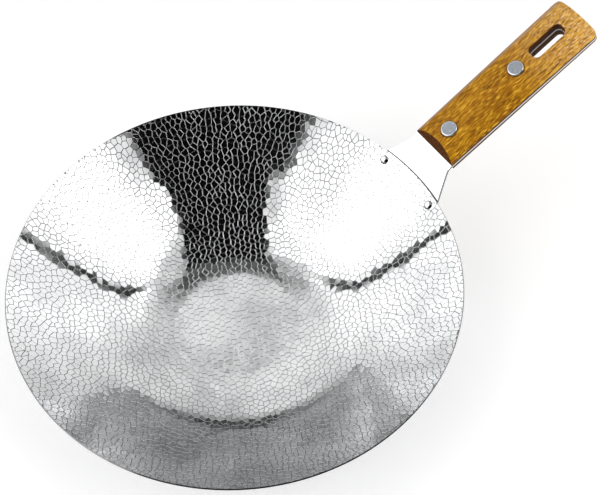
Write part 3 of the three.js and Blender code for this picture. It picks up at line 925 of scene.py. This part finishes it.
class Finish(Nodes):
    """A material of one principled shader."""

    def __init__(self, name, **sockets):
        self.material = bpy.data.materials.new(name)
        self.material.use_nodes = True
        super().__init__(self.material.node_tree)
        self.set(**sockets)

    def set(self, **sockets):
        """Sets sockets of the shader by name, with _ for a space, and returns the material."""
        shader = self.tree.nodes["Principled BSDF"]
        for name, value in sockets.items():
            self.give(shader.inputs[name.replace("_", " ")], value)
        return self.material

    def gloss(self, texture, low, high):
        """Roughness between two values, by a noise."""
        return self.spread(texture, *NOISE_RANGE, low, high)

    def bump(self, height, strength, distance):
        """A normal that leans with the slope of a height."""
        inputs = {"Height": height, "Strength": strength, "Distance": distance}
        return self.add("Bump", inputs).outputs["Normal"]

    def plan_radius(self):
        """Distance from the bowl's axis."""
        return self.vector("LENGTH", self.vector("MULTIPLY", self.place(), (1, 1, 0)), output="Value")


def steel(level):
    """A faintly blue grey."""
    return (level, level + 0.005, level + 0.01)


def grey(level):
    """A neutral grey."""
    return (level, level, level)


def polished_steel():
    """The embossed inside: mirror bright, with faint cloudy stains and smears in its gloss."""
    look = Finish("wok_polished_steel", Metallic=1.0, Specular_Tint=(0.55, 0.55, 0.56, 1))
    smear = look.noise(look.place(), scale=38, detail=4)
    tone = look.noise(look.place(location=(0.3, 0.1, 0)), scale=30)
    return look.set(
        Base_Color=look.mixed(look.spread(tone, *NOISE_CORE, 0, 1), steel(0.47), steel(0.61)),
        Roughness=look.spread(smear, 0.3, 0.75, 0.03, 0.08))


def groove_steel():
    """Bright shoulders and a dark bottom, painted shade in the groove; on the floor of the bowl the grooves
    are a plain lighter steel without it."""
    look = Finish("wok_groove_steel", Metallic=1.0)
    depth = look.add("Attribute", attribute_name=GROOVE_LAYER).outputs["Fac"]
    # painted shade: the groove turns dark towards its bottom
    wall = look.mixed(look.spread(depth, *GROOVE_SHADE_DEPTHS, 0, 1), steel(0.53), grey(0.03))
    # no painted shade in the grooves on the floor of the bowl
    unshaded_floor = look.spread(look.plan_radius(), *UNSHADED_GROOVE_FLOOR, 1, 0)
    grain = look.noise(look.place(), scale=500, detail=2)
    return look.set(
        Base_Color=look.mixed(unshaded_floor, wall, steel(0.42)),
        Roughness=look.gloss(grain, 0.18, 0.28))


def cut_edge_steel():
    """Sheared edges of the sheet: darker than its faces and a little dull."""
    look = Finish("wok_cut_edge_steel", Base_Color=(0.20, 0.20, 0.205, 1), Metallic=1.0)
    scratches = look.noise(look.place(), scale=700)
    return look.set(Roughness=look.gloss(scratches, 0.10, 0.20))


def spun_steel():
    """The outside: satin, with fine rings left by the spinning lathe."""
    look = Finish("wok_spun_steel", Base_Color=(*steel(0.60), 1), Metallic=1.0)
    radial = look.vector("LENGTH", look.place(scale=(1, 1, 0.8)), output="Value")
    inputs = {"W": radial, "Scale": 2600, "Detail": 3}
    rings = look.add("TexNoise", inputs, noise_dimensions="1D").outputs["Fac"]
    return look.set(
        Roughness=look.gloss(rings, 0.20, 0.34),
        Normal=look.bump(rings, strength=0.12, distance=0.0002))


def bracket_sheet_steel():
    """Bright sheet with faint lengthwise polishing lines, and painted shade in the crevice at the rim."""
    look = Finish("wok_bracket_steel", Metallic=1.0)
    outer_rim = MOUTH_RADIUS + BOWL_SHEET * math.sin(rim_slope)
    level = look.add("SeparateXYZ", {"Vector": look.place()}).outputs["Z"]
    # painted shade: dark where the bracket meets the bowl under the rim
    crevice_shade = look.times(
        look.spread(look.plan_radius(), *(outer_rim + past for past in CREVICE_SHADE_PAST_RIM), 0.92, 0),
        look.spread(level, *(rim_seat[1] - down for down in CREVICE_SHADE_BELOW_SEAT), 0, 1))
    lines = look.noise(look.place(scale=(40, 3000, 40)), scale=1.0)
    return look.set(
        Base_Color=look.mixed(crevice_shade, steel(0.60), grey(0.03)),
        Roughness=look.gloss(lines, 0.12, 0.22))


def rivet_dome_steel():
    """Polished domes, darker towards the edge where they sit on the wall."""
    look = Finish("wok_rivet_steel", Metallic=1.0)
    seat = (math.sqrt(seat_at ** 2 - BOWL_RIVET_OFFSET ** 2), BOWL_RIVET_OFFSET, seat_height)
    away = look.vector("DISTANCE", look.vector("ABSOLUTE", look.place()), seat, output="Value")
    # darker towards the dome's edge where it sits on the wall
    tone = look.spread(away, *(share * BOWL_RIVET_HEAD / 2 for share in DOME_DARKENING), 0, 0.9)
    scuffs = look.noise(look.place(), scale=900)
    return look.set(
        Base_Color=look.mixed(tone, steel(0.62), grey(0.05)),
        Roughness=look.gloss(scuffs, 0.10, 0.22))


def rivet_head_aluminium():
    """Cool grey satin metal, mottled where it was peened."""
    look = Finish("wok_rivet_aluminium", Metallic=1.0)
    mottle = look.noise(look.place(), scale=620, detail=4, roughness=0.6)
    share = look.spread(mottle, *NOISE_CORE, 0, 1)
    return look.set(
        Base_Color=look.mixed(share, (0.15, 0.165, 0.185), (0.22, 0.235, 0.255)),
        Roughness=look.gloss(mottle, 0.30, 0.46),
        Normal=look.bump(mottle, strength=0.15, distance=0.0003))


def rivet_bevel_aluminium():
    """The bevel round a rivet head: smoother than the flat, and lighter as a painted highlight."""
    # the light base colour is a painted highlight round the head
    look = Finish("wok_rivet_bevel", Base_Color=(0.44, 0.45, 0.47, 1), Metallic=1.0)
    scuffs = look.noise(look.place(), scale=900)
    return look.set(Roughness=look.gloss(scuffs, 0.16, 0.28))


def grip_place(look):
    """Coordinates in the grip: X along it from its front end, Y across it, Z over the tang."""
    front = Matrix.Rotation(HANDLE_RISE, 3, "Y") @ Vector((handle_front[0], 0, handle_front[1]))
    return look.place(rotation=(0, HANDLE_RISE, 0), location=tuple(-front))


def grip_grain(look, place, lengthwise, crosswise, detail, roughness=0.5):
    """Noise drawn out along the grip, with so many spots a metre along it and across it."""
    drawn = look.add("Mapping", {"Vector": place, "Scale": (lengthwise, crosswise, crosswise)})
    return look.noise(drawn.outputs["Vector"], 1.0, detail, roughness)


def sawn_and_shaded_wood():
    """Sawn edges, front bevel and slot of the grip: dark reddish brown with the ends of the pores, partly
    end grain and partly painted shade.
    """
    look = Finish("wok_sawn_and_shaded_wood", Roughness=0.6, Specular_IOR_Level=0.05)
    pores = grip_grain(look, grip_place(look), 300, 900, 3, 0.6)
    share = look.spread(pores, *NOISE_CORE, 0, 1)
    # the dark reddish brown is partly end grain and partly painted shade on edges, bevel and slot wall
    return look.set(Base_Color=look.mixed(share, (0.040, 0.013, 0.004), (0.150, 0.052, 0.014)))


def lacquered_wood():
    """Golden brown hardwood under a dull lacquer: streaks and flecks of grain, dark pores, painted sheen and
    painted glints towards the far end, a painted sheen along one edge, a dark band near the front of the
    other edge that is partly the wood's colour and partly painted shade, and a darker ring round each rivet."""
    look = Finish("wok_grip_wood", Coat_Weight=0.02, Coat_Roughness=0.18, Specular_IOR_Level=0.05)
    spread, times = look.spread, look.times
    place = grip_place(look)
    streaks = grip_grain(look, place, 18, 210, 4, 0.6)
    clouds = grip_grain(look, place, 26, 75, 3)
    flecks = grip_grain(look, place, 180, 980, 2, 0.6)
    pores = grip_grain(look, place, 150, 1300, 1)
    glints = grip_grain(look, place, 380, 1000, 1)
    parts = look.add("SeparateXYZ", {"Vector": place})
    length, side = parts.outputs["X"], parts.outputs["Y"]
    # painted sheen: paler towards the far end, stronger towards the -Y side
    far_end_sheen = times(spread(length, 0.072, GRIP_LENGTH, 0, 0.68), spread(side, 0.004, -0.020, 0.72, 1.25))
    # darker band along the -Y edge towards the front: partly the wood's own colour, partly painted shade
    edge_stain_and_shade = times(spread(side, -0.0172, -0.0198, 0, 0.7), spread(length, 0.110, 0.020, 0, 1))
    # painted glints towards the far end
    painted_glints = times(spread(glints, 0.50, 0.70, 0, 0.75), spread(length, 0.082, 0.130, 0, 1))
    # painted sheen along the +Y edge
    edge_sheen = spread(side, 0.0172, 0.0188, 0, 0.75)
    layers = [
        (spread(clouds, 0.42, 0.66, 0, 0.6), (0.31, 0.120, 0.003)),
        (far_end_sheen, (0.82, 0.44, 0.105)),
        (edge_stain_and_shade, (0.20, 0.055, 0.006)),
        (spread(flecks, 0.52, 0.68, 0, 0.85), (0.86, 0.49, 0.035)),
        (spread(flecks, 0.48, 0.32, 0, 0.85), (0.17, 0.050, 0.002)),
        (spread(pores, 0.58, 0.70, 0, 0.80), (0.10, 0.030, 0.003)),
        (painted_glints, (0.95, 0.66, 0.34)),
        (edge_sheen, (0.36, 0.25, 0.18)),
    ]
    plan = look.vector("MULTIPLY", place, (1, 1, 0))
    head = HANDLE_RIVET_HEAD / 2
    # a darker ring round each rivet head
    for rivet_at in handle_rivets.values():
        away = look.vector("DISTANCE", plan, (rivet_at, 0, 0), output="Value")
        layers.append((spread(away, head, head + RIVET_RING_WIDTH, 0.8, 0), (0.09, 0.030, 0.006)))
    wood = look.mixed(spread(streaks, 0.34, 0.66, 0, 1), (0.37, 0.140, 0.002), (0.56, 0.260, 0.008))
    for share, colour in layers:
        wood = look.mixed(share, wood, colour)
    return look.set(
        Base_Color=wood,
        Roughness=look.gloss(streaks, 0.52, 0.40),
        Normal=look.bump(pores, strength=0.25, distance=-0.0002))


# Studio: pale floor, white world, soft lights, and a dome that carries what the polished steel mirrors

toward_camera = Vector((math.sin(CAMERA_AZIMUTH), -math.cos(CAMERA_AZIMUTH), 0))
camera_right = Vector((math.cos(CAMERA_AZIMUTH), math.sin(CAMERA_AZIMUTH), 0))


def studio_point(right, near, up):
    """A place in the studio, by distances to the camera's right, towards the camera and up."""
    return camera_right * right + toward_camera * near + Vector((0, 0, up))


def set_axes(thing, right, back, centre):
    """Puts a camera or a light in place by its right side, its back and its centre."""
    place = Matrix((right, back.cross(right), back)).transposed().to_4x4()
    place.translation = centre
    thing.matrix_world = place


def add_camera():
    """The photograph's camera, level apart from a slight roll."""
    back = toward_camera * math.cos(CAMERA_ELEVATION) + Vector((0, 0, math.sin(CAMERA_ELEVATION)))
    upright = back.cross(camera_right)
    right = camera_right * math.cos(CAMERA_ROLL) + upright * math.sin(CAMERA_ROLL)
    data = bpy.data.cameras.new("camera")
    data.sensor_fit = "HORIZONTAL"
    data.sensor_width = SENSOR_WIDTH
    data.lens = FOCAL_PIXELS * SENSOR_WIDTH / IMAGE_WIDTH
    camera = add_object("camera", data)
    set_axes(camera, right, back, CAMERA_TARGET + back * CAMERA_DISTANCE)
    bpy.context.scene.camera = camera


def add_panel(name, corner, across, upward, radiance):
    """A rectangular soft light with one corner and two sides given, facing the wok."""
    centre = corner + (across + upward) / 2
    back = across.cross(upward).normalized()
    if back.dot(centre) < 0:
        back = -back
    data = bpy.data.lights.new(name, "AREA")
    data.shape = "RECTANGLE"
    data.size = across.length
    data.size_y = upward.length
    data.energy = radiance * math.pi * across.length * upward.length
    light = add_object(name, data)
    set_axes(light, across.normalized(), back, centre)
    light.visible_camera = False
    light.visible_glossy = False


def add_panels():
    """A panel on each side that leans in over the wok, and one behind it that leans forwards."""
    lean = PANEL_HEAD[0] - PANEL_FOOT[0]
    height = PANEL_HEAD[1] - PANEL_FOOT[1]
    for name, side, near_end in PANELS:
        corner = studio_point(side * PANEL_FOOT[0], PANEL_FAR_END, PANEL_FOOT[1])
        across = studio_point(0, near_end - PANEL_FAR_END, 0)
        add_panel(name, corner, across, studio_point(side * lean, 0, height), PANEL_RADIANCE)
    add_panel("rear panel", *(studio_point(*vector) for vector in REAR_PANEL), REAR_PANEL_RADIANCE)


def mirrored_light(nodes):
    """What the polished steel mirrors, by direction: a panel on each side, brighter at its near side and
    in a hot core, then a dark seam and a grey backdrop. A dark slot lies overhead in a lane between two
    leaning edges, and dark gaps behind the camera. A veil, two hazes and the far horizon are faint
    shades."""
    step, times, highest = nodes.step, nodes.times, nodes.highest
    direction = nodes.vector("NORMALIZE", nodes.place())

    def part(axis):
        """How far the direction goes along an axis."""
        return nodes.vector("DOT_PRODUCT", direction, tuple(axis), output="Value")

    across, near, rise = part(camera_right), part(toward_camera), part((0, 0, 1))
    above = highest(rise, LOWEST_RISE)
    right = times(nodes.math("ARCTAN2", across, near), math.degrees(1))
    at = {
        "right": right,
        "left": times(right, -1.0),
        "up": times(nodes.math("ARCSINE", rise), math.degrees(1)),
        "x": nodes.math("DIVIDE", across, above),
        "y": nodes.math("DIVIDE", near, above),
    }

    def patch(edges, strength=1.0):
        """A strength inside all of the edges, and zero outside."""
        return times(*(step(at[name], start, full) for name, start, full in edges), strength)

    def lit(light, gains):
        """A light with its gains added, each in its own patch."""
        return nodes.math("ADD", light, *(patch(edges, gain) for gain, edges in gains))

    def lane_side(lean, start, full):
        """One on the lane's side of a leaning edge, and zero past it."""
        return step(nodes.math("ADD", at["x"], times(at["y"], lean)), start, full)

    def past_seam(side, turn, height, lean):
        """Degrees past a seam that leans over with height."""
        return nodes.math("ADD", at[side], times(at["up"], -lean), lean * height - turn)

    lane = times(*(lane_side(*edge) for edge in LANE_EDGES))
    left_gap = times(patch(LEFT_GAP), nodes.spread(patch(LEFT_GAP_EDGE), 0, 1, 1, LEFT_GAP_EDGE_SHARE))
    dark = highest(times(lane, patch(SLOT_END)), patch(RIGHT_GAP), left_gap)

    panel = lit(PANEL_LIGHT, PANEL_GAINS)
    hot_edge = [math.cos(math.radians(angle)) for angle in HOT_EDGE]
    for core in HOT_CORES:
        turn, height = (math.radians(angle) for angle in core)
        level = math.cos(height)
        toward = studio_point(level * math.sin(turn), level * math.cos(turn), math.sin(height))
        panel = nodes.math("ADD", panel, times(step(part(toward), *hot_edge), HOT_GAIN))
    beyond = highest(*(past_seam(*seam) for seam in SEAMS))
    light = nodes.blend(step(beyond, *BACKDROP_EDGE), panel, lit(BACKDROP_LIGHT, BACKDROP_GAINS))
    light = lit(light, OVERHEAD_GAINS)

    half_width = nodes.spread(at["up"], *SEAM_HEIGHTS, *SEAM_HALF_WIDTHS)
    apart = nodes.math("DIVIDE", nodes.math("ABSOLUTE", beyond), half_width)
    seam = times(step(apart, *SEAM_EDGE), nodes.spread(patch(SEAM_LOWER_PART), 0, 1, *SEAM_SHADES))
    veil = times(patch(VEIL), nodes.spread(lane, 0, 1, *VEIL_SHADES))
    shade = highest(seam, veil, *(patch(edges, strength) for strength, edges in HAZES + HORIZON))
    return nodes.blend(dark, times(light, nodes.math("SUBTRACT", 1.0, shade)), DARK_LEVEL)


def add_stage_piece(mesh, surface):
    """A piece of the stage. The function given adds its shader to the material's nodes."""
    material = bpy.data.materials.new("studio_" + mesh.name)
    material.use_nodes = True
    nodes = Nodes(material.node_tree)
    nodes.tree.nodes.clear()
    nodes.add("OutputMaterial", {"Surface": surface(nodes)})
    mesh.materials.append(material)
    piece = add_object(mesh.name, mesh)
    return piece


def dome_glow(nodes):
    """White light of the mirrored strength."""
    return nodes.add("Emission", {"Strength": mirrored_light(nodes)}).outputs["Emission"]


def add_dome():
    """Half a sphere that shows in polished metal, and neither lights the wok nor shows to the camera."""
    rise = np.linspace(0, QUARTER, DOME_RINGS + 1)[:-1]
    rings = lathe(DOME_RADIUS * np.cos(rise), DOME_RADIUS * np.sin(rise), DOME_SEGMENTS)
    points, faces = grid_part(rings, close_columns=True, flip=True)
    last = np.arange(len(points) - rings.shape[1], len(points))
    points = np.concatenate([points, [[0, 0, DOME_RADIUS]]])
    dome = add_stage_piece(make_mesh("dome", points, faces, fan(last[::-1], len(points) - 1)), dome_glow)
    dome.visible_camera = False
    dome.visible_diffuse = False
    dome.visible_shadow = False
    dome.visible_volume_scatter = False


def seen_directly(nodes):
    """One for rays from the camera and for mirrored and clear rays, zero for diffuse light."""
    path = nodes.add("LightPath").outputs
    return nodes.highest(path["Is Camera Ray"], path["Is Glossy Ray"], path["Is Transmission Ray"])


def ground_shader(nodes):
    """Pale and matt, and lifted a little where it is seen."""
    matt = nodes.add("BsdfDiffuse", {"Color": GROUND_GREY}).outputs["BSDF"]
    lift = nodes.times(seen_directly(nodes), GROUND_LIFT)
    glow = nodes.add("Emission", {"Strength": lift}).outputs["Emission"]
    return nodes.add("AddShader", {0: matt, 1: glow}).outputs["Shader"]


def add_floor():
    """A square of pale ground just under the wok."""
    corners = np.array([[-1, -1], [1, -1], [1, 1], [-1, 1]]) * GROUND_REACH
    points = np.column_stack([corners, np.full(4, -GROUND_DROP)])
    add_stage_piece(make_mesh("floor", points, np.array([[0, 1, 2, 3]])), ground_shader)


def set_world():
    """A white world that lights the wok less than it shows."""
    world = bpy.data.worlds.new("studio")
    world.use_nodes = True
    nodes = Nodes(world.node_tree)
    background = world.node_tree.nodes["Background"].inputs
    nodes.give(background["Color"], (1, 1, 1, 1))
    nodes.give(background["Strength"], nodes.spread(seen_directly(nodes), 0, 1, WORLD_FILL, 1.0))
    bpy.context.scene.world = world
    bpy.context.scene.view_settings.view_transform = "Standard"


add_camera()
add_panels()
add_dome()
add_floor()
set_world()

cut_edge = cut_edge_steel()
make_bowl(polished_steel(), spun_steel(), groove_steel(), cut_edge)
make_bracket(bracket_sheet_steel(), cut_edge)
make_scales(lacquered_wood(), sawn_and_shaded_wood())
make_handle_rivets(rivet_head_aluminium(), rivet_bevel_aluminium())
make_bowl_rivets(rivet_dome_steel())
